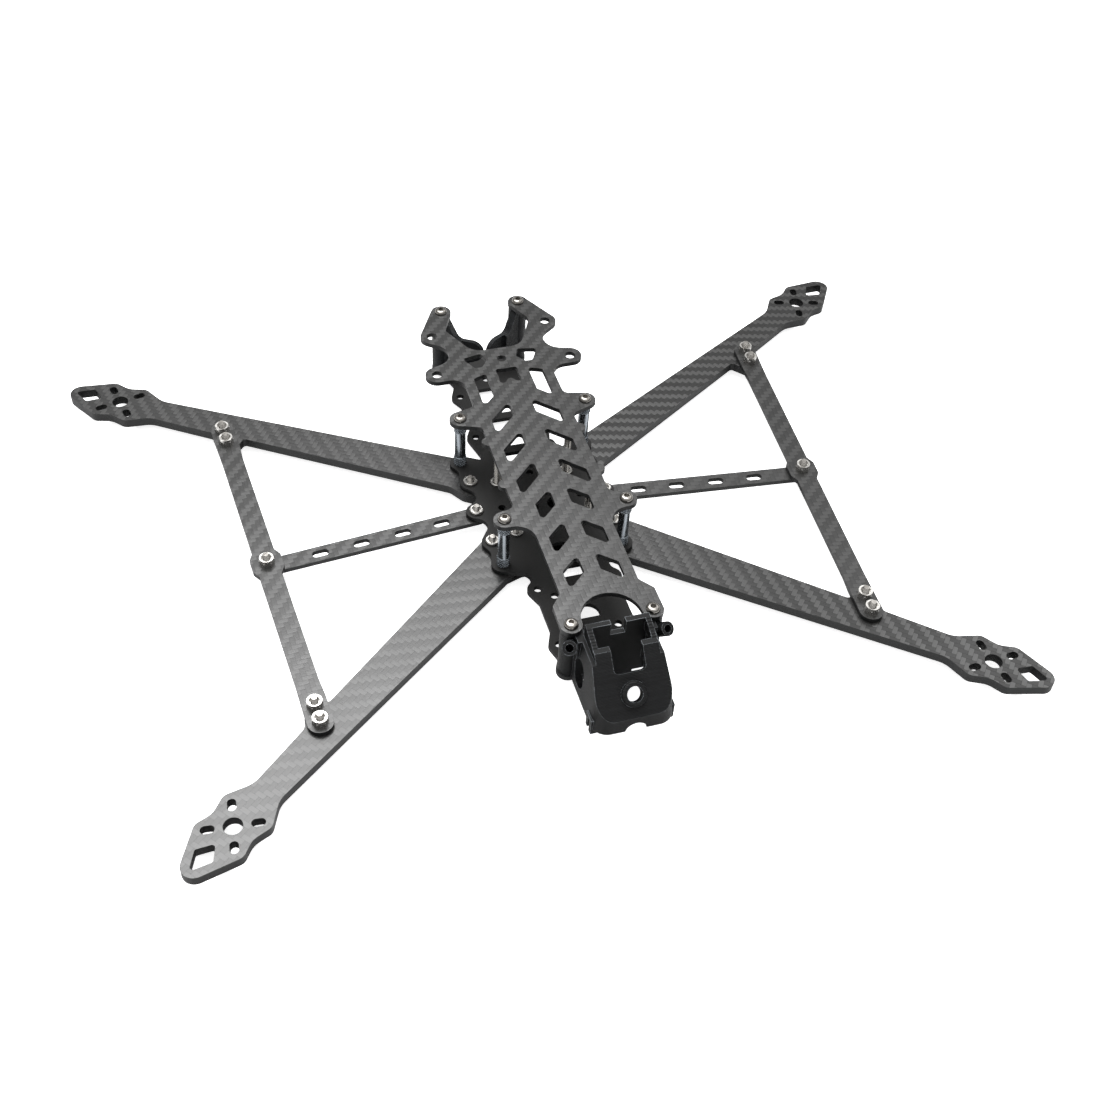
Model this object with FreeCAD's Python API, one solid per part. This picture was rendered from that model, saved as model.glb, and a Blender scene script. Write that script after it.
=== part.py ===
"""Bare quadcopter frame, 9 inch class: stacked flat plates, four arms and two side braces.

Millimetres, +Z up.  The nose points along -Y.  The origin is on the middle plane, on the
underside of the bottom plate, just on the nose side of the flight controller hole pattern.
"""
import FreeCAD
import Part
import math
import os

Vector = FreeCAD.Vector
UP = Vector(0, 0, 1)

# Sheet thicknesses and the levels they stack up to
PLATE = 2.0
ARM = 4.0
DECK_GAP = 23.0
ARM_Z = PLATE
MID_Z = ARM_Z + ARM
STRUT_Z = MID_Z - PLATE
MID_TOP = MID_Z + PLATE
DECK_Z = MID_TOP + DECK_GAP
DECK_TOP = DECK_Z + PLATE

# Motor places and the way each arm points, right hand side
FRONT_MOTOR = Vector(146.6, -124.0, 0)
REAR_MOTOR = Vector(164.1, 109.7, 0)
FRONT_ANGLE = -40.0
REAR_ANGLE = 31.3

# Hole centres of the hub, right hand side
STACK = 15.25
STACK_Y = 1.7
STACK_HOLES = ((STACK, STACK_Y - STACK), (STACK, STACK_Y + STACK))
FRONT_OUTER = (26.2, -16.2)
REAR_OUTER = (26.2, 20.1)
FRONT_STANDOFF = (25.2, -29.2)
REAR_STANDOFF = (27.5, 32.9)
STRUT_INNER = (28.1, 2.5)
NOSE_POST = (15.9, -87.6)
TAIL_POST = (18.1, 106.5)
BOARD = 10.0
BOARD_Y = -61.0
EAR_FRONT_HOLES = ((15.5, -46.0), (15.5, -75.5))
EAR_REAR_HOLES = ((15.0, 54.0), (15.0, 82.5))
DECK_EAR_HOLES = ((26.2, 90.0), (30.1, 63.4))
DECK_EAR_R = 2.25

# Side brace, right hand side: centre, lean from the Y axis, bolt places along it
BRACE_CENTRE = Vector(116.6, -6.0, 0)
BRACE_LEAN = 4.42
BRACE_END = 83.6
BRACE_INNER = 75.7
BRACE_HALF = 4.45

# Motor pad
MOTOR_HOLE = 3.5
SLOT_RADIUS = 8.66
SLOT_HALF_WIDTH = 1.6
SLOT_SPREAD = 0.93

# Fasteners
BOLT_R = 1.48
CLEAR_R = 1.6
THREAD_R = 1.5
HEAD_R = 2.75
HEAD_H = 1.65
SOCKET_R = 1.2
SOCKET_DEPTH = 1.0
NUT_R = 3.1
NUT_H = 3.2
COLLAR_Z = 2.1
COLLAR_R = 2.85
RING_NUT_R = 2.9
RING_NUT_H = 1.4
DISH = 0.6
DEEP_DISH = 1.3
TIP = 1.8
GRIP = 6.0
STACK_RISE = 20.0

STANDOFF_R = 2.45
KNURL_R = 2.8
KNURL_LENGTH = 4.6

# Nose mount
NOSE_FRONT = -121.4
BOX_BACK = -92.0
BOX_TOP = 36.9
BOX_HALF = 12.3
WALL = 2.2
EAR_Y = -104.0
EAR_TOP = 34.0
SLOPE = 47.65
RING_R = 4.9
TUBE_END = (19.0, -96.1, 30.4)
TUBE_BORE = 1.55

# Tail mount
TAIL_POST_R = 4.2
FIN = 3.7
EAR_PLATE = 1.9
FIN_SWEEP = 31.8


# ---------------------------------------------------------------- outlines

def belt(circles):
    """Closed wire that runs round the circles (x, y, r), with straight runs between them.

    The wire goes counterclockwise.  It passes outside a circle with positive r, inside the
    hollow of one with negative r, and makes a sharp corner at r = 0.
    """
    count = len(circles)
    headings = []
    for i in range(count):
        x0, y0, r0 = circles[i]
        x1, y1, r1 = circles[(i + 1) % count]
        length = math.hypot(x1 - x0, y1 - y0)
        headings.append(math.atan2(y1 - y0, x1 - x0) - math.asin((r1 - r0) / length))

    def touch(i, heading):
        x, y, r = circles[i]
        return Vector(x + r * math.sin(heading), y - r * math.cos(heading), 0)

    edges = []
    for i in range(count):
        arrive = headings[i - 1]
        turn = (headings[i] - arrive) % (2 * math.pi)
        if circles[i][2] < 0:
            turn -= 2 * math.pi
        start = touch(i, arrive)
        end = touch(i, headings[i])
        if start.distanceToPoint(end) > 1e-6:
            middle = touch(i, arrive + turn / 2)
            edges.append(Part.Arc(start, middle, end).toShape())
        after = touch((i + 1) % count, headings[i])
        if end.distanceToPoint(after) > 1e-6:
            edges.append(Part.makeLine(end, after))
    return Part.Wire(Part.__sortEdges__(edges))


def both_sides(half):
    """Full list of circles of a symmetric outline, from its right hand half, nose to tail."""
    left = [(-x, y, r) for x, y, r in reversed(half) if abs(x) > 1e-9]
    return half + left


def sheet(wire, z, thickness):
    """Flat sheet of the given outline, standing on height z."""
    body = Part.Face(wire).extrude(Vector(0, 0, thickness))
    body.translate(Vector(0, 0, z))
    return body


def drill(x, y, radius=CLEAR_R):
    """Tool for a round hole through any sheet."""
    return Part.makeCylinder(radius, 100, Vector(x, y, -30), UP)


def window(corners, corner_radius=1.0):
    """Tool for a cut-out with straight sides and rounded corners."""
    points = [Vector(x, y, -30) for x, y in corners]
    body = Part.Face(Part.makePolygon(points + points[:1])).extrude(Vector(0, 0, 100))
    upright = [edge for edge in body.Edges if abs(edge.Vertexes[0].Z - edge.Vertexes[-1].Z) > 1]
    return body.makeFillet(corner_radius, upright)


def slot(x0, y0, x1, y1, radius):
    """Tool for a slot between two centres."""
    return sheet(belt([(x0, y0, radius), (x1, y1, radius)]), -30, 100)


def mirrored(shape):
    """The same shape on the left hand side."""
    return shape.mirror(Vector(0, 0, 0), Vector(1, 0, 0))


def with_mirrored(shapes):
    """The shapes and their left hand copies."""
    return shapes + [mirrored(shape) for shape in shapes]


# ---------------------------------------------------------------- plates

def mid_outline():
    """Right hand half of the mid plate: nose extension, then the hub."""
    return [
        (8.2, -87.6, -3.2), NOSE_POST + (4.4,), (20.6, -81.6, -2.5),
        EAR_FRONT_HOLES[1] + (4.2,), (19.9, -67.5, -3.0), (19.9, -54.0, -3.0),
        EAR_FRONT_HOLES[0] + (4.2,), (20.5, -39.7, -3.8), FRONT_STANDOFF + (4.7,),
        (32.0, -22.6, -3.5), FRONT_OUTER + (4.4,), (30.5, -6.4, -4.8),
        STRUT_INNER + (4.3,), (30.4, 11.6, -4.6), REAR_OUTER + (4.4,),
        (33.6, 27.0, -4.0), REAR_STANDOFF + (4.4,), (18.4, 34.6, -1.6), (14.5, 37.2, 1.5),
    ]


def hub_holes():
    """Bolt holes that the bottom and mid plates share."""
    outer = (FRONT_OUTER, REAR_OUTER, FRONT_STANDOFF, REAR_STANDOFF)
    return with_mirrored([drill(x, y) for x, y in STACK_HOLES + outer])


def mid_plate():
    """Upper sandwich plate, with the nose extension that carries the camera mount."""
    body = sheet(belt(both_sides(mid_outline())), MID_Z, PLATE)
    small = [STRUT_INNER, NOSE_POST, (BOARD, BOARD_Y + BOARD), (BOARD, BOARD_Y - BOARD)]
    small += [(17.2, 2.0)]
    small += list(EAR_FRONT_HOLES)
    tools = hub_holes() + with_mirrored([drill(x, y) for x, y in small])
    tools += with_mirrored([drill(5.5, -0.5, 3.6)])
    tools.append(drill(0, 20))
    tools.append(sheet(belt([(-3.2, -40.4, 2.0), (3.2, -40.4, 2.0), (0, -28.0, 5.0)]), -30, 100))
    tools.append(sheet(belt([(-3.6, -64.0, 1.2), (3.6, -64.0, 1.2), (0, -62.8, 4.8)]), -30, 100))
    tools.append(window([(-8, 25.0), (8, 25.0), (8, 34.4), (-8, 34.4)], 2.0))
    return body.cut(tools)


def bottom_outline():
    """Right hand half of the bottom plate: hub, then the tail ladder."""
    return [
        (18.0, -31.4, 0), FRONT_STANDOFF + (4.4,), (32.0, -22.6, -3.5),
        FRONT_OUTER + (4.4,), (30.5, -4.4, -7.0), (30.5, 9.2, -7.0), REAR_OUTER + (4.4,),
        (33.6, 27.0, -4.0), REAR_STANDOFF + (4.4,), (20.2, 41.6, -4.2),
        EAR_REAR_HOLES[0] + (3.9,), (19.1, 61.0, -3.0), (19.1, 75.5, -3.0),
        EAR_REAR_HOLES[1] + (3.9,), (19.6, 91.0, -3.6), (22.6, 98.9, -4.0),
        TAIL_POST + (4.4,),
    ]


def bottom_plate():
    """Lower sandwich plate, with the ladder that carries the tail mounts."""
    body = sheet(belt(both_sides(bottom_outline())), 0, PLATE)
    tools = hub_holes()
    tools += with_mirrored([drill(x, y) for x, y in EAR_REAR_HOLES + (TAIL_POST,)])
    tools.append(drill(0, 92.4, 1.9))
    tools.append(window([(-9, 29.0), (9, 29.0), (10.6, 36), (10.6, 63.6), (-10.6, 63.6),
                         (-10.6, 36)], 2.0))
    tools.append(window([(-12.4, 67.6), (12.4, 67.6), (9.4, 85.6), (-9.4, 85.6)], 2.0))
    return body.cut(tools)


def deck_outline():
    """Right hand half of the top plate."""
    return [
        (0, -87.3, -11.6), NOSE_POST + (4.2,), (18.6, -78.0, 1.4),
        (17.6, -71.2, -2.1), (23.6, -41.7, -8.0), FRONT_STANDOFF + (4.4,),
        (22.8, -21.2, -3.0), (20.9, -12.9, -1.0), (20.2, -9.6, 2.2), (20.9, -6.3, -1.0),
        (20.9, 13.2, -1.0), (20.2, 16.5, 2.2), (20.9, 19.8, -1.0), (22.8, 23.4, -3.0),
        REAR_STANDOFF + (4.5,), (22.8, 41.6, -3.0), (25.8, 52.3, -6.0),
        DECK_EAR_HOLES[1] + (5.1,), (29.2, 76.7, -7.4), DECK_EAR_HOLES[0] + (5.1,),
        TAIL_POST + (4.5,), (16.2, 93.2, -3.1), (6.0, 83.4, -8.0),
    ]


def slanted(inner, outer, top_inner, top_outer, low_outer, low_inner):
    """Corners of a window with upright sides and slanted ends."""
    return ((inner, low_inner), (outer, low_outer), (outer, top_outer), (inner, top_inner))


def deck_windows():
    """Corners of the windows in the right hand half of the top plate, tail to nose."""
    windows = [
        ((6.6, 68.3), (9.8, 64.0), (13.0, 64.0), (17.0, 71.4), (8.3, 73.2)),
        slanted(9.45, 15.5, 59.4, 57.0, 38.5, 44.6),
    ]
    for step in range(3):
        y = -19.0 * step
        windows.append(slanted(4.9, 14.9, y + 39.0, y + 29.0, y + 20.1, y + 30.2))
    for step in range(3):
        y = -18.8 * step
        windows.append(slanted(3.3, 11.2, y - 16.7, y - 23.8, y - 33.4, y - 25.9))
    return windows


def cross_window():
    """Tool for the four lobed cut-out near the tail of the top plate."""
    half = [(0, 52.5, -1.6), (3.4, 53.1, 1.5), (9.5, 56.6, -5.0), (3.5, 59.8, 1.4), (0, 63.9, -3.0)]
    return sheet(belt(both_sides(half)), -30, 100)


def top_plate():
    """Long lightened deck."""
    body = sheet(belt(both_sides(deck_outline())), DECK_Z, PLATE)
    places = (FRONT_STANDOFF, REAR_STANDOFF, NOSE_POST, TAIL_POST)
    tools = with_mirrored([drill(x, y) for x, y in places])
    tools += with_mirrored([drill(x, y, DECK_EAR_R) for x, y in DECK_EAR_HOLES])
    tools += with_mirrored([window(corners, 1.3) for corners in deck_windows()])
    tools.append(drill(0, 67.9, 2.1))
    tools.append(cross_window())
    return body.cut(tools)


# ---------------------------------------------------------------- arms, braces, struts

def brace_point(along, across=0.0):
    """Place on the right hand brace, from its centre, positive towards the tail."""
    lean = math.radians(BRACE_LEAN)
    x = BRACE_CENTRE.x + along * math.sin(lean) + across * math.cos(lean)
    y = BRACE_CENTRE.y + along * math.cos(lean) - across * math.sin(lean)
    return (x, y)


def arm_local(point, motor, angle):
    """Place in the arm's own frame: u outwards from the motor, v to its left."""
    a = math.radians(angle)
    dx = point[0] - motor.x
    dy = point[1] - motor.y
    return (dx * math.cos(a) + dy * math.sin(a), dy * math.cos(a) - dx * math.sin(a))


def pad_side():
    """Circles of one side of the motor pad, from the tip back to the neck."""
    return [
        (18.7, 0.0, 5.0), (6.8, 6.8, 4.1), (0.2, 17.1, -7.7), (-6.8, 6.8, 4.1),
        (-19.5, 16.0, -10.0),
    ]


def pad_tools():
    """Centre hole, four motor slots and the kite window, about the motor axis."""
    tools = [drill(0, 0, MOTOR_HOLE)]
    for quarter in range(4):
        a = math.radians(45 + 90 * quarter)
        inner = SLOT_RADIUS - SLOT_SPREAD
        outer = SLOT_RADIUS + SLOT_SPREAD
        tools.append(slot(inner * math.cos(a), inner * math.sin(a),
                          outer * math.cos(a), outer * math.sin(a), SLOT_HALF_WIDTH))
    kite = [(10.6, 0.0, 1.2), (14.4, -3.0, 1.0), (19.4, 0.0, 1.2), (14.4, 3.0, 1.0)]
    tools.append(sheet(belt(kite), -30, 100))
    return tools


def arm(motor, angle, ear_side, hub_bolts, ear_along, neck, root_lobes, standoff_r):
    """Right hand arm.  ear_side is +1 when the brace ear lies on the left of its direction.

    neck is its half width behind the ear, and root_lobes are the circles of its root on the
    ear side, counted from the outer hub bolt.
    """
    inner, outer, standoff = [arm_local(p, motor, angle) for p in hub_bolts]
    ear = [arm_local(brace_point(s), motor, angle) for s in ear_along]
    flip = ear_side
    u_out, v_out = ear[0][0], ear[0][1] * flip
    u_in, v_in = ear[1][0], ear[1][1] * flip
    near, far = pad_side(), pad_side()[1:]
    ear_run = [(u_out + 6.0, 6.9 + 4.0, -4.0), (u_in, v_in, 4.0), (u_in - 6.4, neck + 1.5, -1.5)]
    root = [(outer[0] + du, outer[1] * flip + dv, r) for du, dv, r in root_lobes]
    root.append((inner[0], inner[1] * flip, 6.4))
    root.append((standoff[0], standoff[1] * flip, standoff_r))
    circles = near + ear_run + root + [(u, -v, r) for u, v, r in reversed(far)]
    if flip < 0:
        circles = [(u, -v, r) for u, v, r in reversed(circles)]
    body = sheet(belt(circles), ARM_Z, ARM)
    holes = [drill(u, v) for u, v in (inner, outer, standoff) + tuple(ear)]
    body = body.cut(pad_tools() + holes)
    body.rotate(Vector(0, 0, 0), UP, angle)
    body.translate(motor)
    return body


def front_arm():
    """Front arm: its ear looks to the tail, on the left of the outward direction."""
    bolts = (STACK_HOLES[0], FRONT_OUTER, FRONT_STANDOFF)
    lobes = [(0, 0, 4.6)]
    return arm(FRONT_MOTOR, FRONT_ANGLE, 1, bolts, (-BRACE_END, -BRACE_INNER), 7.5, lobes, 5.0)


def rear_arm():
    """Rear arm: its ear looks to the nose, on the right of the outward direction."""
    bolts = (STACK_HOLES[1], REAR_OUTER, REAR_STANDOFF)
    lobes = [(8.9, 7.2, -4.0), (0.2, 1.5, 4.9)]
    return arm(REAR_MOTOR, REAR_ANGLE, -1, bolts, (BRACE_END, BRACE_INNER), 6.4, lobes, 4.4)


def brace():
    """Long strip that ties a front arm to a rear arm, with an eight sided middle."""
    end_half, mid_half, mid_flat, mid_long = 4.9, 6.3, 3.4, 6.75
    side = [
        (0, BRACE_END, end_half), (0, BRACE_INNER - 4.0, end_half),
        (-BRACE_HALF, BRACE_INNER - 12.0, 0), (-BRACE_HALF, mid_long, 0),
        (-mid_half, mid_flat, 0),
    ]
    other = [(x, -y, r) for x, y, r in reversed(side)]
    left = side + other
    right = [(-x, -y, r) for x, y, r in left if abs(x) > 1e-9]
    body = sheet(belt(left + right), MID_Z, PLATE)
    ends = [s * place for s in (-1, 1) for place in (BRACE_INNER, BRACE_END)]
    body = body.cut([drill(0, along) for along in ends + [0]])
    body.rotate(Vector(0, 0, 0), UP, -BRACE_LEAN)
    body.translate(BRACE_CENTRE)
    return body


def strut():
    """Short slotted strip from the hub to the middle of the brace."""
    start = Vector(STRUT_INNER[0], STRUT_INNER[1], 0)
    run = BRACE_CENTRE - start
    body = sheet(belt([(0, 0, 4.3), (run.Length, 0, 3.85)]), STRUT_Z, PLATE)
    slot_r, half_run = 1.75, 1.75
    tools = [drill(0, 0), drill(run.Length, 0)]
    for centre in (15.3, 32.2, 49.8, 67.1):
        tools.append(slot(centre - half_run, 0, centre + half_run, 0, slot_r))
    body = body.cut(tools)
    body.rotate(Vector(0, 0, 0), UP, math.degrees(math.atan2(run.y, run.x)))
    body.translate(start)
    return body


# ---------------------------------------------------------------- posts and fasteners

def tube(x, y, z0, z1, radius, bore):
    """Upright tube."""
    body = Part.makeCylinder(radius, z1 - z0, Vector(x, y, z0), UP)
    return body.cut(Part.makeCylinder(bore, z1 - z0, Vector(x, y, z0), UP))


def standoff(place):
    """Round spacer with a knurled band at each end."""
    x, y = place
    body = tube(x, y, MID_TOP, DECK_Z, STANDOFF_R, THREAD_R)
    low = tube(x, y, MID_TOP, MID_TOP + KNURL_LENGTH, KNURL_R, THREAD_R)
    high = tube(x, y, DECK_Z - KNURL_LENGTH, DECK_Z, KNURL_R, THREAD_R)
    return body.fuse([low, high]).removeSplitter()


def screw(x, y, seat, length, way):
    """Button head screw.  The shank runs from seat along way (+1 up, -1 down)."""
    axis = Vector(0, 0, way)
    shank = Part.makeCylinder(BOLT_R, length - 0.5, Vector(x, y, seat), axis)
    tip_base = Vector(x, y, seat + way * (length - 0.5))
    tip = Part.makeCone(BOLT_R, BOLT_R - 0.5, 0.5, tip_base, axis)
    rise = (HEAD_R ** 2 - 1.6 ** 2 - HEAD_H ** 2) / (2 * HEAD_H)
    ball = Part.makeSphere(math.hypot(HEAD_R, rise), Vector(x, y, seat + way * rise))
    head = Part.makeCylinder(HEAD_R, HEAD_H, Vector(x, y, seat), axis * -1).common(ball)
    corners = []
    for k in range(7):
        a = math.radians(60 * k)
        height = seat - way * (HEAD_H - SOCKET_DEPTH)
        corners.append(Vector(x + SOCKET_R * math.cos(a), y + SOCKET_R * math.sin(a), height))
    socket = Part.Face(Part.makePolygon(corners)).extrude(axis * -SOCKET_DEPTH * 2)
    return head.fuse([shank, tip]).cut(socket).removeSplitter()


def nut(x, y):
    """Hex lock nut on a brace, with a round, dished collar."""
    z = MID_TOP
    corners = [Vector(x + NUT_R * math.cos(math.radians(60 * k)),
                      y + NUT_R * math.sin(math.radians(60 * k)), z) for k in range(7)]
    body = Part.Face(Part.makePolygon(corners)).extrude(Vector(0, 0, COLLAR_Z))
    body = body.common(Part.makeCone(NUT_R + 1.2, NUT_R - 0.3, COLLAR_Z, Vector(x, y, z), UP))
    body = body.fuse(Part.makeCylinder(COLLAR_R, NUT_H, Vector(x, y, z), UP))
    dish = Part.makeCylinder(COLLAR_R - 0.75, DEEP_DISH, Vector(x, y, z + NUT_H - DEEP_DISH), UP)
    bore = Part.makeCylinder(THREAD_R, NUT_H, Vector(x, y, z), UP)
    return body.cut([dish, bore]).removeSplitter()


def ring_nut(x, y):
    """Low round nut on the mid plate, with a chamfered rim and a wide dish round the thread."""
    chamfer = 0.35
    body = Part.makeCylinder(RING_NUT_R, RING_NUT_H, Vector(x, y, MID_TOP), UP)
    rim = [e for e in body.Edges if e.Closed and e.BoundBox.ZMin > MID_TOP + RING_NUT_H - 0.01]
    body = body.makeChamfer(chamfer, rim)
    dish = Part.makeCone(1.7, 2.0, DISH, Vector(x, y, MID_TOP + RING_NUT_H - DISH), UP)
    return body.cut([dish, Part.makeCylinder(THREAD_R, RING_NUT_H, Vector(x, y, MID_TOP), UP)])


def group(maker, places):
    """One shape made of the same piece at every place and its left hand copy."""
    return Part.makeCompound(with_mirrored([maker(x, y) for x, y in places]))


# ---------------------------------------------------------------- printed mounts

def side_profile(points, half_width):
    """Solid whose outline is drawn in the side view (y, z), centred on the middle plane."""
    wire = Part.makePolygon([Vector(-half_width, y, z) for y, z in points + points[:1]])
    return Part.Face(wire).extrude(Vector(2 * half_width, 0, 0))


def block(x0, x1, y0, y1, z0, z1):
    """Box between two corners."""
    return Part.makeBox(x1 - x0, y1 - y0, z1 - z0, Vector(x0, y0, z0))


def nose_plan(half_width, corner, front, back):
    """Plan outline of the camera box: round corners at the nose, sharp ones at the back."""
    half = [(half_width - corner, front + corner, corner), (half_width, back, 0)]
    return belt(both_sides(half))


def hull(low, low_z, high, high_z):
    """Solid between two plan outlines at different heights."""
    lower = low.copy()
    lower.translate(Vector(0, 0, low_z))
    upper = high.copy()
    upper.translate(Vector(0, 0, high_z))
    return Part.makeLoft([lower, upper], True, True)


def camera_box():
    """Box with flared sides and a sloped front, open above and below."""
    low = hull(nose_plan(16.0, 6.6, NOSE_FRONT, BOX_BACK), MID_TOP,
               nose_plan(13.8, 7.6, NOSE_FRONT, BOX_BACK), DECK_Z)
    high = sheet(nose_plan(BOX_HALF, 6.0, NOSE_FRONT, BOX_BACK), DECK_Z - 1.0, 12.0)
    outer = [(BOX_BACK, MID_TOP), (BOX_BACK, BOX_TOP), (BOX_BACK - WALL, BOX_TOP),
             (EAR_Y + 1.4, EAR_TOP), (EAR_Y, EAR_TOP), (NOSE_FRONT, 14.9), (NOSE_FRONT, MID_TOP)]
    body = low.fuse(high).common(side_profile(outer, 20.0))
    cavity = hull(nose_plan(13.2, 5.0, NOSE_FRONT + WALL, BOX_BACK - WALL), MID_TOP - 1.0,
                  nose_plan(11.0, 5.6, NOSE_FRONT + WALL, BOX_BACK - WALL), DECK_Z)
    shaft = nose_plan(BOX_HALF - 2.0, 4.0, NOSE_FRONT + WALL, BOX_BACK - WALL)
    cavity = cavity.fuse(sheet(shaft, DECK_Z - 1.0, 12.0))
    inner = [(BOX_BACK - WALL, 0), (BOX_BACK - WALL, 45), (EAR_Y + WALL, 45),
             (EAR_Y + WALL, 33.1), (-118.4, 14.9), (NOSE_FRONT + WALL, 13.8),
             (NOSE_FRONT + WALL, 0)]
    body = body.cut(cavity.common(side_profile(inner, 20.0)))
    return body.cut(block(-2.9, 2.9, BOX_BACK - 4, BOX_BACK + 1, DECK_Z, BOX_TOP + 1))


def on_slope(shape, y, z):
    """Carry a tool from the XY plane to a place on the sloped front, +Z pointing outwards."""
    shape.rotate(Vector(0, 0, 0), Vector(1, 0, 0), SLOPE)
    shape.translate(Vector(0, y, z))
    return shape


def camera_mount():
    """Printed mount at the nose: posts, camera box, side vents, clips and antenna tubes."""
    ring_y, ring_z = -115.4, 21.5
    ring = Part.makeCylinder(RING_R, 3.2, Vector(0, 0, -1.6), UP)
    rim = [edge for edge in ring.Edges if abs(edge.BoundBox.ZMin - 1.6) < 0.01 and edge.Closed]
    ring = on_slope(ring.makeFillet(0.9, rim), ring_y, ring_z)
    x, y = NOSE_POST
    tube_way = Vector(0.35, -0.62, 0.70).normalize()
    tube_end = Vector(*TUBE_END)
    side = [
        Part.makeCylinder(4.0, DECK_GAP, Vector(x, y, MID_TOP), UP),
        block(11.8, 15.4, BOX_BACK - 3.0, y, MID_TOP + 1.0, DECK_Z),
        block(13.6, 16.2, -117.2, -111.8, 5.0, 12.4),
        Part.makeCylinder(2.8, 9.5, tube_end - tube_way * 9.5, tube_way),
    ]
    lip = block(-7.6, 7.6, BOX_BACK - WALL, BOX_BACK, MID_Z - 1.4, MID_TOP + 1.0)
    body = camera_box().fuse([ring, lip] + with_mirrored(side))
    vent = sheet(belt([(-98.4, 15.4, 4.4), (-98.0, 19.0, 4.4)]), 10.4, 12.0)
    vent.rotate(Vector(0, 0, 0), Vector(1, 1, 1), 120)
    tools = with_mirrored([
        Part.makeCylinder(THREAD_R, 60, Vector(x, y, 0), UP),
        Part.makeCylinder(TUBE_BORE, 9.0, tube_end - tube_way * 8.0, tube_way),
        block(14.6, 20.0, -115.2, -113.4, 0.0, 10.8),
        vent,
    ])
    tools.append(on_slope(Part.makeCylinder(3.0, 12, Vector(0, 0, -6), UP), ring_y, ring_z))
    return body.cut(tools + front_cuts()).removeSplitter()


def front_cuts():
    """U shaped opening down the sloped front, and the arch at its foot."""
    corner, half, up = 1.8, 6.1, 16.0
    half_wire = [(half - corner, corner, corner), (half, up, 0)]
    opening = on_slope(sheet(belt(both_sides(half_wire)), -6, 12), -110.0, 27.4)
    arch_r, arch_z = 4.1, 7.7
    arch = Part.makeCylinder(arch_r, 8, Vector(0, -124, arch_z), Vector(0, 1, 0))
    arch_foot = block(-arch_r, arch_r, -124, -116, 0, arch_z)
    return [opening, arch, arch_foot]


def tail_mount():
    """Post with a fin that sweeps inwards and forwards to a thin ear with a hole."""
    x, y = TAIL_POST
    rise = DECK_Z - PLATE
    outline = [(1.6, 4.6, 2.6), (15.2, 15.2, 5.4), (11.3, 24.2, -3.8), (2.2, 28.5, 2.5)]
    fin = sheet(belt(outline), -0.4, FIN)
    fin = fin.cut(sheet(belt([(19.0, 8.0, 8.6), (19.0, 26.0, 8.6)]), EAR_PLATE - 0.4, FIN))
    fin = fin.cut(drill(12.0, 12.9, 1.1))
    fin.rotate(Vector(0, 0, 0), Vector(1, 0, 0), 90)
    fin = fin.mirror(Vector(0, 0, 0), Vector(1, 0, 0))
    fin.rotate(Vector(0, 0, 0), UP, FIN_SWEEP)
    fin.translate(Vector(x, y, 0))
    post = Part.makeCylinder(TAIL_POST_R, rise, Vector(x, y, PLATE), UP)
    bore = Part.makeCylinder(THREAD_R, 60, Vector(x, y, 0), UP)
    return post.fuse(fin).cut(bore).removeSplitter()


# ---------------------------------------------------------------- assembly

def frame_sheets():
    """Every flat piece, by node name."""
    nodes = {
        "bottom_plate": bottom_plate(),
        "mid_plate": mid_plate(),
        "top_plate": top_plate(),
    }
    pairs = {"arm_front": front_arm(), "arm_rear": rear_arm(), "brace": brace(), "strut": strut()}
    for name, shape in pairs.items():
        nodes[name + "_right"] = shape
        nodes[name + "_left"] = mirrored(shape)
    return nodes


def posts_and_mounts():
    """Standoffs and printed mounts, by node name."""
    pairs = {
        "standoff_front": standoff(FRONT_STANDOFF),
        "standoff_rear": standoff(REAR_STANDOFF),
        "tail_mount": tail_mount(),
    }
    nodes = {"camera_mount": camera_mount()}
    for name, shape in pairs.items():
        nodes[name + "_right"] = shape
        nodes[name + "_left"] = mirrored(shape)
    return nodes


def fasteners():
    """Groups of identical screws and nuts, by node name."""
    standoffs = [FRONT_STANDOFF, REAR_STANDOFF]
    stack = list(STACK_HOLES)
    outers = [FRONT_OUTER, REAR_OUTER]
    ends = [brace_point(s * place) for s in (-1, 1) for place in (BRACE_INNER, BRACE_END)]
    middle = [brace_point(0)]
    brace_top = MID_TOP + NUT_H + TIP
    ring_top = MID_TOP + RING_NUT_H + TIP
    return {
        "deck_screws": group(lambda x, y: screw(x, y, DECK_TOP, PLATE + GRIP, -1),
                             standoffs + [NOSE_POST, TAIL_POST]),
        "standoff_screws": group(lambda x, y: screw(x, y, 0, MID_TOP + GRIP, 1), standoffs),
        "nose_post_screws": group(lambda x, y: screw(x, y, MID_Z, PLATE + GRIP, 1), [NOSE_POST]),
        "tail_post_screws": group(lambda x, y: screw(x, y, 0, PLATE + GRIP, 1), [TAIL_POST]),
        "stack_screws": group(lambda x, y: screw(x, y, 0, MID_TOP + STACK_RISE, 1), stack),
        "stack_nuts": group(ring_nut, stack),
        "hub_screws": group(lambda x, y: screw(x, y, 0, ring_top, 1), outers),
        "hub_nuts": group(ring_nut, outers),
        "brace_end_screws": group(lambda x, y: screw(x, y, ARM_Z, brace_top - ARM_Z, 1), ends),
        "brace_end_nuts": group(nut, ends),
        "brace_middle_screws": group(lambda x, y: screw(x, y, STRUT_Z, brace_top - STRUT_Z, 1),
                                     middle),
        "brace_middle_nuts": group(nut, middle),
        "strut_screws": group(lambda x, y: screw(x, y, STRUT_Z, ring_top - STRUT_Z, 1),
                              [STRUT_INNER]),
        "strut_nuts": group(ring_nut, [STRUT_INNER]),
    }


def main():
    """Write one STEP file per node."""
    os.makedirs("parts", exist_ok=True)
    nodes = frame_sheets()
    nodes.update(posts_and_mounts())
    nodes.update(fasteners())
    for name, shape in nodes.items():
        shape.exportStep("parts/" + name + ".step")


main()
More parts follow.
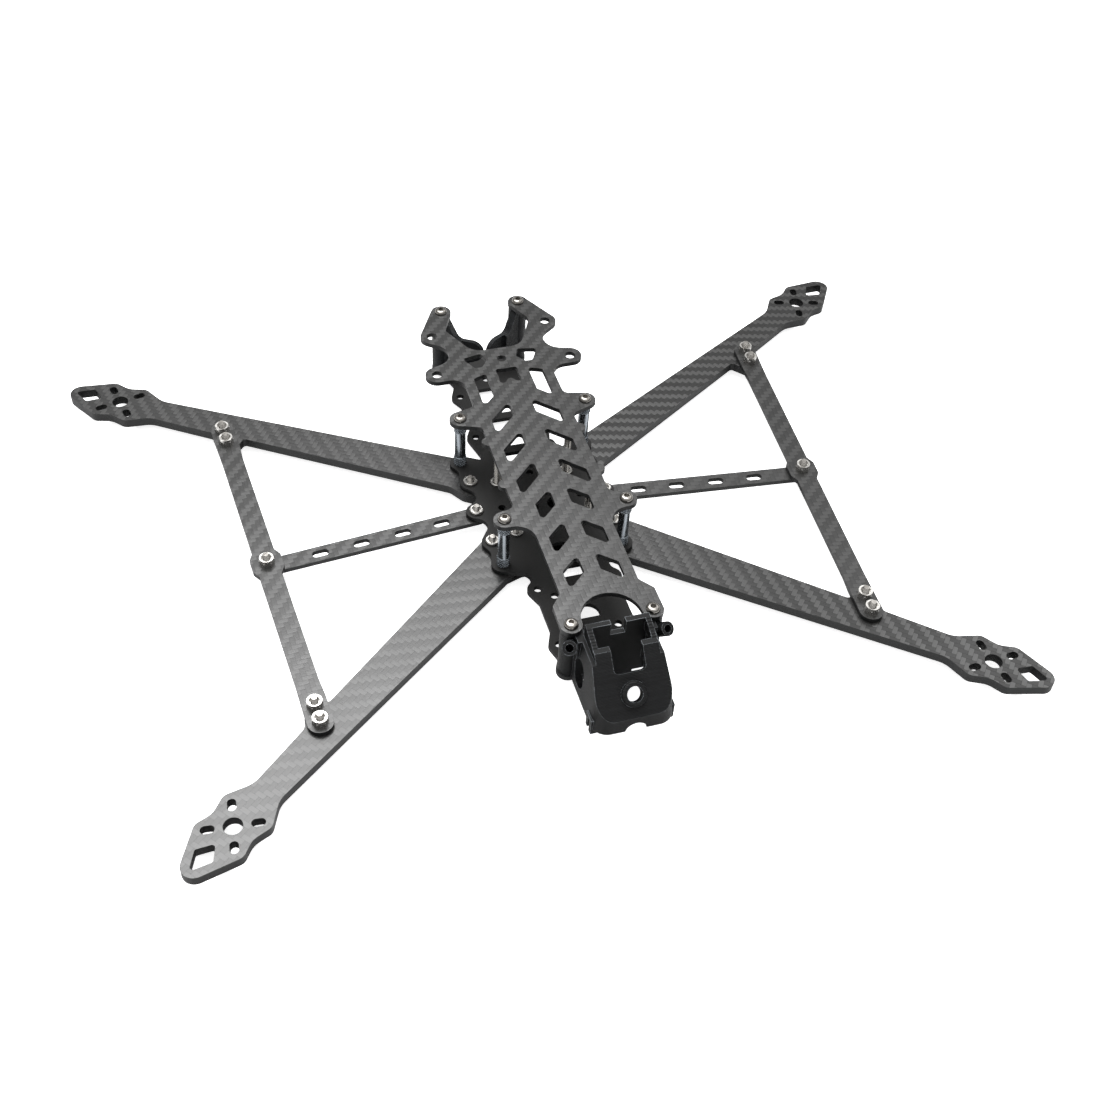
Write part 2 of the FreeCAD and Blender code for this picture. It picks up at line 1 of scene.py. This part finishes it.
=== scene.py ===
"""Looks of the bare quadcopter frame: carbon laminate, steel fasteners, printed mounts."""

import math

import bpy
from mathutils import Matrix, Vector


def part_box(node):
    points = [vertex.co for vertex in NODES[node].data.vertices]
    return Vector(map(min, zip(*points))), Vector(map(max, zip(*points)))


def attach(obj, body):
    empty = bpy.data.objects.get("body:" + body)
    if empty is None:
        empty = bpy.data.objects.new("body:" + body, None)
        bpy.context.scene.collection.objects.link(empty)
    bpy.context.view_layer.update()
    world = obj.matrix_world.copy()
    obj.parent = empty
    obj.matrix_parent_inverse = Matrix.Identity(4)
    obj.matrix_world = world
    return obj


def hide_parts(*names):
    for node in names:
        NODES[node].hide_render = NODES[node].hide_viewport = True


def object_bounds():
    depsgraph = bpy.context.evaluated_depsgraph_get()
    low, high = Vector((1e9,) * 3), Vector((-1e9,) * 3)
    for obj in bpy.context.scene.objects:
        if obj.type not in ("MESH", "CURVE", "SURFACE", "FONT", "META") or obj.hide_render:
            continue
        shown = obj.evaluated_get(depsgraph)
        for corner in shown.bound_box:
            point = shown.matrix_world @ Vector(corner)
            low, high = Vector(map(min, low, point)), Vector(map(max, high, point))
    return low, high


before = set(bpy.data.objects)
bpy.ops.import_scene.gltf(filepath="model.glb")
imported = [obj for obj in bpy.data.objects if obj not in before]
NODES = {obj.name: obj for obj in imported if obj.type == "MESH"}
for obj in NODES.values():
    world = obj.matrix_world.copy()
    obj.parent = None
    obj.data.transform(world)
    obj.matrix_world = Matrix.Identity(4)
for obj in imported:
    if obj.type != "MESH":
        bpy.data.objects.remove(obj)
MM = 0.001


def plain(box):
    """A box as lists of numbers."""
    return [[float(value) for value in corner] for corner in box]


CAD_BOX = plain(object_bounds())


# ---------------------------------------------------------------- shader writing

class Graph:
    """A short way to write the shader nodes of one material."""

    def __init__(self, name):
        self.material = bpy.data.materials.new(name)
        self.material.use_nodes = True
        self.tree = self.material.node_tree
        self.tree.nodes.clear()

    def node(self, kind, **settings):
        made = self.tree.nodes.new(kind)
        for key, value in settings.items():
            setattr(made, key, value)
        return made

    def feed(self, socket, value):
        if isinstance(value, bpy.types.NodeSocket):
            self.tree.links.new(value, socket)
        else:
            socket.default_value = value

    def math(self, operation, *values):
        made = self.node("ShaderNodeMath", operation=operation)
        for socket, value in zip(made.inputs, values):
            self.feed(socket, value)
        return made.outputs[0]

    def ramp(self, value, low, high, out_low=0.0, out_high=1.0):
        """value moved from the range low..high to out_low..out_high, and held inside it."""
        made = self.node("ShaderNodeMapRange", interpolation_type="SMOOTHSTEP")
        for socket, item in zip(made.inputs, (value, low, high, out_low, out_high)):
            self.feed(socket, item)
        return made.outputs[0]

    def blend(self, factor, first, second):
        """Colour between first and second."""
        made = self.node("ShaderNodeMix", data_type="RGBA")
        self.feed(made.inputs[0], factor)
        self.feed(made.inputs[6], first)
        self.feed(made.inputs[7], second)
        return made.outputs[2]

    def choose(self, factor, first, second):
        """Number between first and second."""
        made = self.node("ShaderNodeMix", data_type="FLOAT")
        self.feed(made.inputs[0], factor)
        self.feed(made.inputs[2], first)
        self.feed(made.inputs[3], second)
        return made.outputs[0]

    def vector(self, x, y, z):
        made = self.node("ShaderNodeCombineXYZ")
        for socket, value in zip(made.inputs, (x, y, z)):
            self.feed(socket, value)
        return made.outputs[0]

    def stretched(self, x, y, z, wide, thin):
        """Point whose level places are scaled by wide and whose height is scaled by thin."""
        return self.vector(self.math("MULTIPLY", x, wide), self.math("MULTIPLY", y, wide),
                           self.math("MULTIPLY", z, thin))

    def grey(self, value, tint=(1.0, 1.0, 1.0)):
        """Colour with the brightness value and a fixed tint."""
        parts = [self.math("MULTIPLY", value, share) for share in tint]
        return self.vector(*parts)

    def noise(self, vector, scale, detail=2.0, roughness=0.5):
        made = self.node("ShaderNodeTexNoise")
        self.feed(made.inputs["Vector"], vector)
        made.inputs["Scale"].default_value = scale
        made.inputs["Detail"].default_value = detail
        made.inputs["Roughness"].default_value = roughness
        return made.outputs[0]

    def split(self, vector):
        made = self.node("ShaderNodeSeparateXYZ")
        self.feed(made.inputs[0], vector)
        return made.outputs[0], made.outputs[1], made.outputs[2]

    def place(self):
        """The shaded point in the object's frame, in metres, and its x, y and z."""
        point = self.node("ShaderNodeTexCoord").outputs["Object"]
        return (point,) + self.split(point)

    def facing_up(self):
        """1 on level faces, 0 on upright ones."""
        normal = self.node("ShaderNodeNewGeometry").outputs["True Normal"]
        return self.ramp(self.math("ABSOLUTE", self.split(normal)[2]), 0.6, 0.9)

    def rims(self, radius, flat, sharp):
        """1 on edges, 0 on flat faces, from how far bevelling would turn the normal."""
        rounded = self.node("ShaderNodeBevel", samples=6)
        rounded.inputs["Radius"].default_value = radius
        normal = self.node("ShaderNodeNewGeometry").outputs["Normal"]
        dot = self.node("ShaderNodeVectorMath", operation="DOT_PRODUCT")
        self.feed(dot.inputs[0], rounded.outputs[0])
        self.feed(dot.inputs[1], normal)
        return self.ramp(dot.outputs["Value"], flat, sharp)

    def finish(self, colour, roughness, metallic=0.0, height=None, depth=0.0, **extra):
        """Principled surface with an optional bump of the given depth in metres."""
        surface = self.node("ShaderNodeBsdfPrincipled")
        self.feed(surface.inputs["Base Color"], colour)
        self.feed(surface.inputs["Roughness"], roughness)
        self.feed(surface.inputs["Metallic"], metallic)
        for name, value in extra.items():
            self.feed(surface.inputs[name.replace("_", " ")], value)
        if height is not None:
            bump = self.node("ShaderNodeBump")
            bump.inputs["Distance"].default_value = depth
            self.feed(bump.inputs["Height"], height)
            self.feed(surface.inputs["Normal"], bump.outputs[0])
        output = self.node("ShaderNodeOutputMaterial")
        self.feed(output.inputs[0], surface.outputs[0])
        return self.material


# ---------------------------------------------------------------- materials

TOW = 2.0 * MM                  # width of one yarn of the weave
WARM = (1.0, 0.99, 0.96)        # tint of the laminate's faces
COOL = (0.93, 0.97, 1.0)        # tint of its cut edges


def float_shape(g, run, across):
    """Height of one yarn float: run counts from 0 to 2 along it, across from 0 to 1."""
    half = g.math("SUBTRACT", run, 1.0)
    ends = g.math("POWER", g.math("ABSOLUTE", half), 6.0)
    side = g.math("SUBTRACT", g.math("MULTIPLY", across, 2.0), 1.0)
    sides = g.math("POWER", g.math("ABSOLUTE", side), 4.0)
    return g.math("MULTIPLY", g.math("SUBTRACT", 1.0, ends), g.math("SUBTRACT", 1.0, sides))


def weave(g, x, y, angle):
    """Two by two twill turned by angle: (1 on warp, height, fibres, direction across them)."""
    repeat = 4.0                # yarns after which the twill starts again
    fine, long = 7.0, 0.3       # noise across and along the fibres, in cells for each yarn
    c, s = math.cos(angle), math.sin(angle)
    u = g.math("ADD", g.math("MULTIPLY", x, c / TOW), g.math("MULTIPLY", y, s / TOW))
    v = g.math("SUBTRACT", g.math("MULTIPLY", x, s / TOW), g.math("MULTIPLY", y, c / TOW))
    cell_u, cell_v = g.math("FLOOR", u), g.math("FLOOR", v)
    warp_run = g.math("FLOORED_MODULO", g.math("ADD", v, cell_u), repeat)
    weft_run = g.math("FLOORED_MODULO", g.math("ADD", u, cell_v), repeat)
    warp = g.math("LESS_THAN", warp_run, repeat / 2)
    warp_shape = float_shape(g, warp_run, g.math("FRACT", u))
    weft_shape = float_shape(g, g.math("SUBTRACT", weft_run, repeat / 2), g.math("FRACT", v))
    height = g.choose(warp, weft_shape, warp_shape)
    along_v = g.noise(g.vector(g.math("MULTIPLY", u, fine), g.math("MULTIPLY", v, long), 0.0), 1.0)
    along_u = g.noise(g.vector(g.math("MULTIPLY", u, long), g.math("MULTIPLY", v, fine), fine), 1.0)
    fibre = g.choose(warp, along_u, along_v)
    across = g.vector(g.choose(warp, -s, c), g.choose(warp, c, s), 0.0)
    return warp, height, fibre, across


def ply_edge(g, point, z, tone):
    """Brightness of a cut laminate edge, with faint plies along it."""
    ply_rate, grain_rate = 4200.0, 1800.0
    layers = g.noise(g.vector(0.0, 0.0, g.math("MULTIPLY", z, ply_rate)), 1.0, 2.0)
    grain = g.noise(point, grain_rate, 3.0)
    lit = g.math("ADD", g.ramp(layers, 0.3, 0.7, 0.75, 1.2), g.ramp(grain, 0.3, 0.7, -0.15, 0.15))
    return g.math("MULTIPLY", lit, tone)


def laminate(name, angle, tone, painted_sheen):
    """Woven carbon laminate with a painted sheen: weft yarns are painted lighter and warp yarns
    darker, standing in for how the two yarn directions catch the light.
    """
    grain, drift = 0.04, 0.04                       # brightness swing of fibres and of patches
    # painted shade in the seams between yarns and a faint painted highlight on their tops
    seam_shade, crown = 0.85 - 1.3 * painted_sheen, 1.02       # brightness between yarns and on top of one
    relief = (0.006 + 0.06 * painted_sheen) * MM
    face_rough, edge_rough = 0.3, 0.5
    face_shine, edge_shine = 47.0 * tone, 0.25
    edge_tone, stretch = 0.012, 0.3
    g = Graph(name)
    point, x, y, z = g.place()
    warp, height, fibre, across = weave(g, x, y, math.radians(angle))
    cloud = g.noise(point, 60.0)
    # painted sheen: weft yarns painted lighter and warp yarns darker, for how each yarn direction
    # catches the light
    lit = g.choose(warp, 1.0 + painted_sheen, 1.0 - painted_sheen)
    # painted shade between yarns and painted highlight on their tops
    lit = g.math("MULTIPLY", lit, g.ramp(height, 0.0, 0.35, seam_shade, crown))
    lit = g.math("MULTIPLY", lit, g.ramp(fibre, 0.3, 0.7, 1.0 - grain, 1.0 + grain))
    lit = g.math("MULTIPLY", lit, g.ramp(cloud, 0.3, 0.7, 1.0 - drift, 1.0 + drift))
    top = g.facing_up()
    edge = g.grey(ply_edge(g, point, z, edge_tone), COOL)
    colour = g.blend(top, edge, g.grey(g.math("MULTIPLY", lit, tone), WARM))
    rough = g.math("ADD", face_rough, g.ramp(fibre, 0.2, 0.8, -0.03, 0.03))
    rough = g.choose(top, edge_rough, rough)
    bump = g.math("MULTIPLY", g.math("ADD", height, g.math("MULTIPLY", fibre, 0.15)), top)
    shine = g.choose(top, edge_shine, g.math("MULTIPLY", lit, face_shine))
    spread = g.math("MULTIPLY", top, stretch)
    return g.finish(colour, rough, height=bump, depth=relief, Specular_IOR_Level=shine,
                    Anisotropic=spread, Tangent=across)


def matte_laminate(name, tone):
    """Flat black laminate with a fine even grain."""
    edge_tone, relief = 0.008, 0.015 * MM
    g = Graph(name)
    point, _, _, z = g.place()
    cloud = g.noise(point, 45.0, 3.0)
    grain = g.noise(point, 1500.0, 3.0)
    lit = g.math("ADD", g.ramp(cloud, 0.3, 0.7, 0.9, 1.1), g.ramp(grain, 0.3, 0.7, -0.08, 0.08))
    top = g.facing_up()
    edge = g.grey(ply_edge(g, point, z, edge_tone), COOL)
    colour = g.blend(top, edge, g.grey(g.math("MULTIPLY", lit, tone), WARM))
    rough = g.ramp(cloud, 0.3, 0.7, 0.6, 0.7)
    return g.finish(colour, rough, height=grain, depth=relief, Specular_IOR_Level=0.25)


def printed(name, tone, tint, pale):
    """Printed flexible plastic: level layers, and rims painted lighter by pale as a painted highlight.
    """
    layer, rim_width, relief = 0.4 * MM, 0.35 * MM, 0.05 * MM
    wide, thin = 60.0, 2600.0       # how often the strands change, level and upright
    g = Graph(name)
    point, x, y, z = g.place()
    wander = g.noise(point, 90.0)
    level = g.math("ADD", g.math("MULTIPLY", z, 1 / layer), g.math("MULTIPLY", wander, 0.4))
    wave = g.math("SINE", g.math("MULTIPLY", level, 2 * math.pi))
    strands = g.noise(g.stretched(x, y, z, wide, thin), 1.0)
    lit = g.math("ADD", g.ramp(wave, -1.0, 1.0, 0.8, 1.15), g.ramp(strands, 0.3, 0.7, -0.25, 0.25))
    # painted highlight: edges made lighter, broken up by the strands
    rim = g.math("MULTIPLY", g.rims(rim_width, 0.99, 0.85), g.ramp(strands, 0.4, 0.65, 0.2, 1.0))
    tone_now = g.math("ADD", g.math("MULTIPLY", lit, tone), g.math("MULTIPLY", rim, pale))
    bump = g.math("ADD", wave, strands)
    return g.finish(g.grey(tone_now, tint), 0.5, height=bump, depth=relief, Specular_IOR_Level=0.15)


def steel(name, tone, tint, roughness, film_depth):
    """Turned metal with fine scratches and a dull film."""
    wide, thin, scratch = 400.0, 3000.0, 0.004 * MM
    g = Graph(name)
    point, x, y, z = g.place()
    film = g.noise(point, 420.0, 4.0)
    hair = g.noise(g.stretched(x, y, z, wide, thin), 1.0)
    dull = g.ramp(film, 0.3, 0.7, 1.0 - film_depth, 1.0)
    lit = g.math("MULTIPLY", dull, g.ramp(hair, 0.3, 0.7, 0.95, 1.04))
    rough = g.math("ADD", roughness, g.ramp(film, 0.3, 0.7, -0.04, 0.08))
    colour = g.grey(g.math("MULTIPLY", lit, tone), tint)
    return g.finish(colour, rough, 1.0, height=hair, depth=scratch)


# ---------------------------------------------------------------- turned pieces

def lathe(rows, x, y, segments, capped):
    """Vertices and faces of one turned solid about an upright axis.

    Each row is a height and either a radius or a function that gives it from the angle.  A
    capped solid ends in fans; one that isn't capped joins its last row to its first.
    """
    verts, faces = [], []
    for z, radius in rows:
        for k in range(segments):
            a = 2 * math.pi * k / segments
            r = radius(a) if callable(radius) else radius
            verts.append((x + r * math.cos(a), y + r * math.sin(a), z))
    last = len(rows) if not capped else len(rows) - 1
    for row in range(last):
        here, there = row * segments, (row + 1) % len(rows) * segments
        for k in range(segments):
            n = (k + 1) % segments
            faces.append((here + k, here + n, there + n, there + k))
    if capped:
        for row, turn in ((0, -1), (len(rows) - 1, 1)):
            verts.append((x, y, rows[row][0]))
            hub = len(verts) - 1
            for k in range(segments):
                pair = (row * segments + k, row * segments + (k + 1) % segments)
                faces.append((hub,) + pair[::turn])
    return verts, faces


def piece(name, solids, material, node, sharp=40):
    """One object made of the given solids, standing for a CAD node."""
    verts, faces = [], []
    for more_verts, more_faces in solids:
        shift = len(verts)
        verts += more_verts
        faces += [tuple(index + shift for index in face) for face in more_faces]
    mesh = bpy.data.meshes.new(name)
    mesh.from_pydata(verts, [], faces)
    mesh.validate()
    mesh.materials.append(material)
    made = bpy.data.objects.new(name, mesh)
    bpy.context.scene.collection.objects.link(made)
    bpy.context.view_layer.objects.active = made
    made.select_set(True)
    bpy.ops.object.shade_smooth_by_angle(angle=math.radians(sharp))
    made.select_set(False)
    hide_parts(node)
    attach(made, "root")


def triangle(value):
    """Zigzag between 0 and 1 with period 1."""
    part = value % 1.0
    return 2 * part if part < 0.5 else 2 - 2 * part


def islands(node):
    """Box of each separate solid of a CAD node, lowest and highest corner."""
    mesh = NODES[node].data
    parent = list(range(len(mesh.vertices)))

    def root(i):
        while parent[i] != i:
            parent[i] = parent[parent[i]]
            i = parent[i]
        return i

    for edge in mesh.edges:
        a, b = root(edge.vertices[0]), root(edge.vertices[1])
        if a != b:
            parent[a] = b
    boxes = {}
    for vertex in mesh.vertices:
        low, high = boxes.setdefault(root(vertex.index), ([1e9] * 3, [-1e9] * 3))
        for axis in range(3):
            low[axis] = min(low[axis], vertex.co[axis])
            high[axis] = max(high[axis], vertex.co[axis])
    return list(boxes.values())


def screw_boxes(node):
    """Box of each screw of a CAD node: solids that overlap in plan count as one screw."""
    joined = []
    for low, high in islands(node):
        for other_low, other_high in joined:
            apart = any(low[k] > other_high[k] or high[k] < other_low[k] for k in (0, 1))
            if not apart:
                for k in range(3):
                    other_low[k] = min(other_low[k], low[k])
                    other_high[k] = max(other_high[k], high[k])
                break
        else:
            joined.append((list(low), list(high)))
    return joined


def middle(low, high):
    """Middle of a box in plan."""
    return (low[0] + high[0]) / 2, (low[1] + high[1]) / 2


KNURL_TEETH = 16
KNURL_DEPTH = 0.42 * MM
KNURL_RISE = 1.15 * MM          # height of one diamond


def knurled_spacer(node):
    """Round spacer with two bands of diamond knurling and a smooth waist."""
    low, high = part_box(node)
    x, y = middle(low, high)
    outer, waist, bore = (high[0] - low[0]) / 2, 2.35 * MM, 1.5 * MM
    band, edge, step = 4.6 * MM, 0.3 * MM, 0.1 * MM

    def diamond(z):
        def radius(a):
            turn = a * KNURL_TEETH / (2 * math.pi)
            tooth = min(triangle(turn + z / KNURL_RISE), triangle(turn - z / KNURL_RISE))
            return outer - KNURL_DEPTH * (1 - min(1.0, 1.5 * tooth))
        return radius

    rows = [(low[2], bore), (low[2], outer - edge)]
    for start in (low[2], high[2] - band):
        rows.append((start + step / 2, outer - edge))
        count = int((band - 2 * edge) / step)
        rows += [(start + edge + step * k, diamond(start + step * k)) for k in range(count)]
        rows.append((start + band - step, outer - edge))
        if start == low[2]:
            rows += [(start + band, waist), (high[2] - band, waist)]
    rows += [(high[2], outer - edge), (high[2], bore)]
    return lathe(rows, x, y, 10 * KNURL_TEETH, False)


HEAD_R = 2.75 * MM
HEAD_H = 1.65 * MM
SOCKET_R = 1.2 * MM
SOCKET_DEPTH = 1.0 * MM
SHANK_R = 1.48 * MM
TIP_CHAMFER = 0.4 * MM
THREAD_PITCH = 0.5 * MM
THREAD_CUT = 0.27 * MM
THREAD_STEPS = 8                # rows for each turn of the thread
THREAD_FROM = 6.0 * MM          # lower down the plates hide the shank


def hexagon(size):
    """Radius of a hexagon with corners at distance size."""
    def radius(a):
        return size * math.cos(math.pi / 6) / math.cos((a + math.pi / 6) % (math.pi / 3) - math.pi / 6)
    return radius


def threaded_screws(node):
    """Every screw of a group: rounded head with a hex socket below, threaded shank above."""
    flat, shoulder, steps = 1.6 * MM, 0.75, 6
    solids = []
    for low, high in screw_boxes(node):
        x, y = middle(low, high)
        foot, seat, tip = low[2], low[2] + HEAD_H, high[2]

        def thread(z):
            def radius(a):
                wave = triangle(z / THREAD_PITCH - a / (2 * math.pi))
                cut = SHANK_R - THREAD_CUT * (1 - 1.3 * wave)
                return min(SHANK_R, cut, SHANK_R - (z - (tip - TIP_CHAMFER)))
            return radius

        rows = [(foot + SOCKET_DEPTH, hexagon(SOCKET_R)), (foot, hexagon(SOCKET_R)), (foot, flat)]
        for k in range(1, steps):
            turn = k / steps
            rows.append((foot + HEAD_H * turn ** 1.7, flat + (HEAD_R - flat) * turn))
        rows += [(foot + HEAD_H * shoulder, HEAD_R), (seat, HEAD_R), (seat, SHANK_R)]
        step = THREAD_PITCH / THREAD_STEPS
        start = max(seat, THREAD_FROM)
        heights = [start + step * k for k in range(int((tip - start) / step))]
        rows += [(z, thread(z)) for z in heights]
        rows.append((tip, SHANK_R - TIP_CHAMFER))
        solids.append(lathe(rows, x, y, 36, True))
    return solids


def domed_screws(node):
    """Every screw of a group with its head up: a round dome with a hex socket in it."""
    crown, rim, steps = 1.35 * MM, 0.2 * MM, 8
    solids = []
    for low, high in screw_boxes(node):
        x, y = middle(low, high)
        top, seat = high[2], high[2] - HEAD_H
        rows = [(low[2], SHANK_R), (seat, SHANK_R), (seat, HEAD_R)]
        for k in range(steps + 1):
            turn = math.pi / 2 * k / steps
            rise, reach = (HEAD_H - rim) * math.sin(turn), (HEAD_R - crown) * math.cos(turn)
            rows.append((seat + rim + rise, crown + reach))
        rows += [(top, hexagon(SOCKET_R)), (top - SOCKET_DEPTH, hexagon(SOCKET_R))]
        solids.append(lathe(rows, x, y, 48, True))
    return solids


# ---------------------------------------------------------------- dressing the frame

def dress(node, material, bevel=0.0):
    """Give a CAD node its material and, on request, small rounded edges."""
    target = NODES[node]
    target.data.materials.clear()
    target.data.materials.append(material)
    for polygon in target.data.polygons:
        polygon.material_index = 0
    if bevel:
        edge = target.modifiers.new("edge", "BEVEL")
        edge.width = bevel
        edge.segments = 2
        edge.limit_method = "ANGLE"
        edge.angle_limit = math.radians(50)
        edge.harden_normals = False


# Which way the pieces run, in degrees; their weave follows
FRONT_ANGLE = -40.0
REAR_ANGLE = 31.3
BRACE_LEAN = 4.4
STRUT_LEAN = 5.5

ARM_BEVEL = 0.2 * MM
PLATE_BEVEL = 0.15 * MM


def dress_plates():
    """Laminate of every flat piece.  The rows hold name, weave angle, tone and the strength of the
    painted sheen, set piece by piece for how the light falls on it.
    """
    woven = (
        ("arm_front_right", 90 + FRONT_ANGLE, 0.014, 0.26),
        ("arm_front_left", 90 - FRONT_ANGLE, 0.014, 0.06),
        ("arm_rear_right", 90 + REAR_ANGLE, 0.014, 0.26),
        ("arm_rear_left", 90 - REAR_ANGLE, 0.014, 0.24),
        ("brace_right", -BRACE_LEAN, 0.014, 0.20),
        ("brace_left", BRACE_LEAN, 0.014, 0.08),
        ("strut_right", -STRUT_LEAN, 0.015, 0.12),
        ("strut_left", STRUT_LEAN, 0.013, 0.10),
        ("top_plate", 0.0, 0.0125, 0.13),
    )
    for name, angle, tone, painted_sheen in woven:
        bevel = ARM_BEVEL if name.startswith("arm_") else PLATE_BEVEL
        dress(name, laminate("laminate_" + name, angle, tone, painted_sheen), bevel)
    matte = matte_laminate("laminate_matte", 0.012)
    for name in ("mid_plate", "bottom_plate"):
        dress(name, matte, PLATE_BEVEL)


def dress_mounts():
    """Printed plastic of the nose and tail mounts."""
    # the last number of each printed call is the strength of the painted highlight on the edges
    dress("camera_mount", printed("printed_black", 0.005, (0.90, 0.97, 1.04), 0.30))
    grey = printed("printed_grey", 0.010, (0.84, 0.95, 1.04), 0.08)
    for side in ("left", "right"):
        dress("tail_mount_" + side, grey)


def dress_metal():
    """Screws, nuts and spacers; those whose thread, dome or knurling shows are made again."""
    screw = steel("plain_steel", 0.42, (1.0, 0.96, 0.90), 0.17, 0.2)
    nut = steel("bright_plating", 0.6, (1.0, 0.98, 0.94), 0.24, 0.12)
    spacer = steel("anodised_spacer", 0.36, (0.84, 0.92, 1.0), 0.2, 0.15)
    for node in NODES:
        if node.endswith("_screws"):
            dress(node, screw)
        if node.endswith("_nuts"):
            dress(node, nut)
    for group in ("stack", "hub", "brace_end", "brace_middle", "strut"):
        node = group + "_screws"
        piece(group + "_threaded_screws", threaded_screws(node), screw, node)
    node = "deck_screws"
    dark = steel("dark_steel", 0.30, (1.0, 0.95, 0.88), 0.15, 0.2)
    piece("deck_domed_screws", domed_screws(node), dark, node)
    for end in ("front", "rear"):
        for side in ("left", "right"):
            node = "standoff_" + end + "_" + side
            dress(node, spacer)
            piece("knurled_" + node, [knurled_spacer(node)], spacer, node, 30)


dress_plates()
dress_mounts()
dress_metal()


# ---------------------------------------------------------------- studio

def area_light(name, place, target, width, power):
    """Square soft light that looks at a target."""
    data = bpy.data.lights.new(name, "AREA")
    data.shape = "SQUARE"
    data.size = width
    data.energy = power
    light = bpy.data.objects.new(name, data)
    light.location = place
    light.rotation_euler = (Vector(target) - Vector(place)).to_track_quat("-Z", "Y").to_euler()
    bpy.context.scene.collection.objects.link(light)


def floor():
    """Plain pale floor that the screw heads stand on."""
    side, glow = 12.0, 0.8
    bpy.ops.mesh.primitive_plane_add(size=side, location=(0, 0, CAD_BOX[0][2]))
    made = bpy.context.object
    made.name = "floor"
    g = Graph("floor_white")
    point = g.place()[0]
    tone = g.ramp(g.noise(point, 3.0), 0.3, 0.7, 0.90, 0.92)
    seen = g.math("MULTIPLY", g.node("ShaderNodeLightPath").outputs["Is Camera Ray"], glow)
    white = g.finish(g.grey(tone), 0.9, Specular_IOR_Level=0.1, Emission_Strength=seen)
    made.data.materials.append(white)


def air():
    """Surroundings dim at the horizon and bright overhead, and plain white to the camera."""
    limits = {"From Min": 0.35, "From Max": 0.95, "To Min": 0.35, "To Max": 1.4}
    world = bpy.data.worlds.new("studio_air")
    world.use_nodes = True
    tree = world.node_tree
    way = tree.nodes.new("ShaderNodeTexCoord")
    split = tree.nodes.new("ShaderNodeSeparateXYZ")
    rise = tree.nodes.new("ShaderNodeMapRange")
    rise.interpolation_type = "SMOOTHSTEP"
    for name, value in limits.items():
        rise.inputs[name].default_value = value
    tree.links.new(way.outputs["Generated"], split.inputs[0])
    tree.links.new(split.outputs[2], rise.inputs[0])
    seen = tree.nodes.new("ShaderNodeLightPath")
    strength = tree.nodes.new("ShaderNodeMath")
    strength.operation = "MAXIMUM"
    tree.links.new(rise.outputs[0], strength.inputs[0])
    tree.links.new(seen.outputs["Is Camera Ray"], strength.inputs[1])
    tree.links.new(strength.outputs[0], tree.nodes["Background"].inputs["Strength"])
    tree.nodes["Background"].inputs["Color"].default_value = (1, 1, 1, 1)
    bpy.context.scene.world = world


def camera():
    """Camera high at the front left, rolled a little."""
    lens, sensor = 46.8, 36.0
    near, far = 0.01, 50.0
    azimuth = math.radians(19.31)
    elevation = math.radians(46.0)
    roll = math.radians(3.83)
    place = Vector((-0.13867, -0.40906, 0.4277))
    ahead = Vector((math.cos(elevation) * math.sin(azimuth),
                    math.cos(elevation) * math.cos(azimuth), -math.sin(elevation)))
    right = Vector((math.cos(azimuth), -math.sin(azimuth), 0))
    above = right.cross(ahead)
    turned = right * math.cos(roll) + above * math.sin(roll)
    upward = above * math.cos(roll) - right * math.sin(roll)
    data = bpy.data.cameras.new("camera")
    data.lens, data.sensor_width = lens, sensor
    data.clip_start, data.clip_end = near, far
    made = bpy.data.objects.new("camera", data)
    made.matrix_world = Matrix((turned, upward, -ahead)).transposed().to_4x4()
    made.location = place
    bpy.context.scene.collection.objects.link(made)
    bpy.context.scene.camera = made


floor()
air()
area_light("overhead", (-0.08, 0.52, 1.40), (0, 0, 0), 1.0, 26.0)
area_light("right_fill", (1.0, 0.6, 1.05), (0.1, 0, 0), 0.5, 1.5)
camera()
bpy.context.scene.view_settings.view_transform = "Standard"
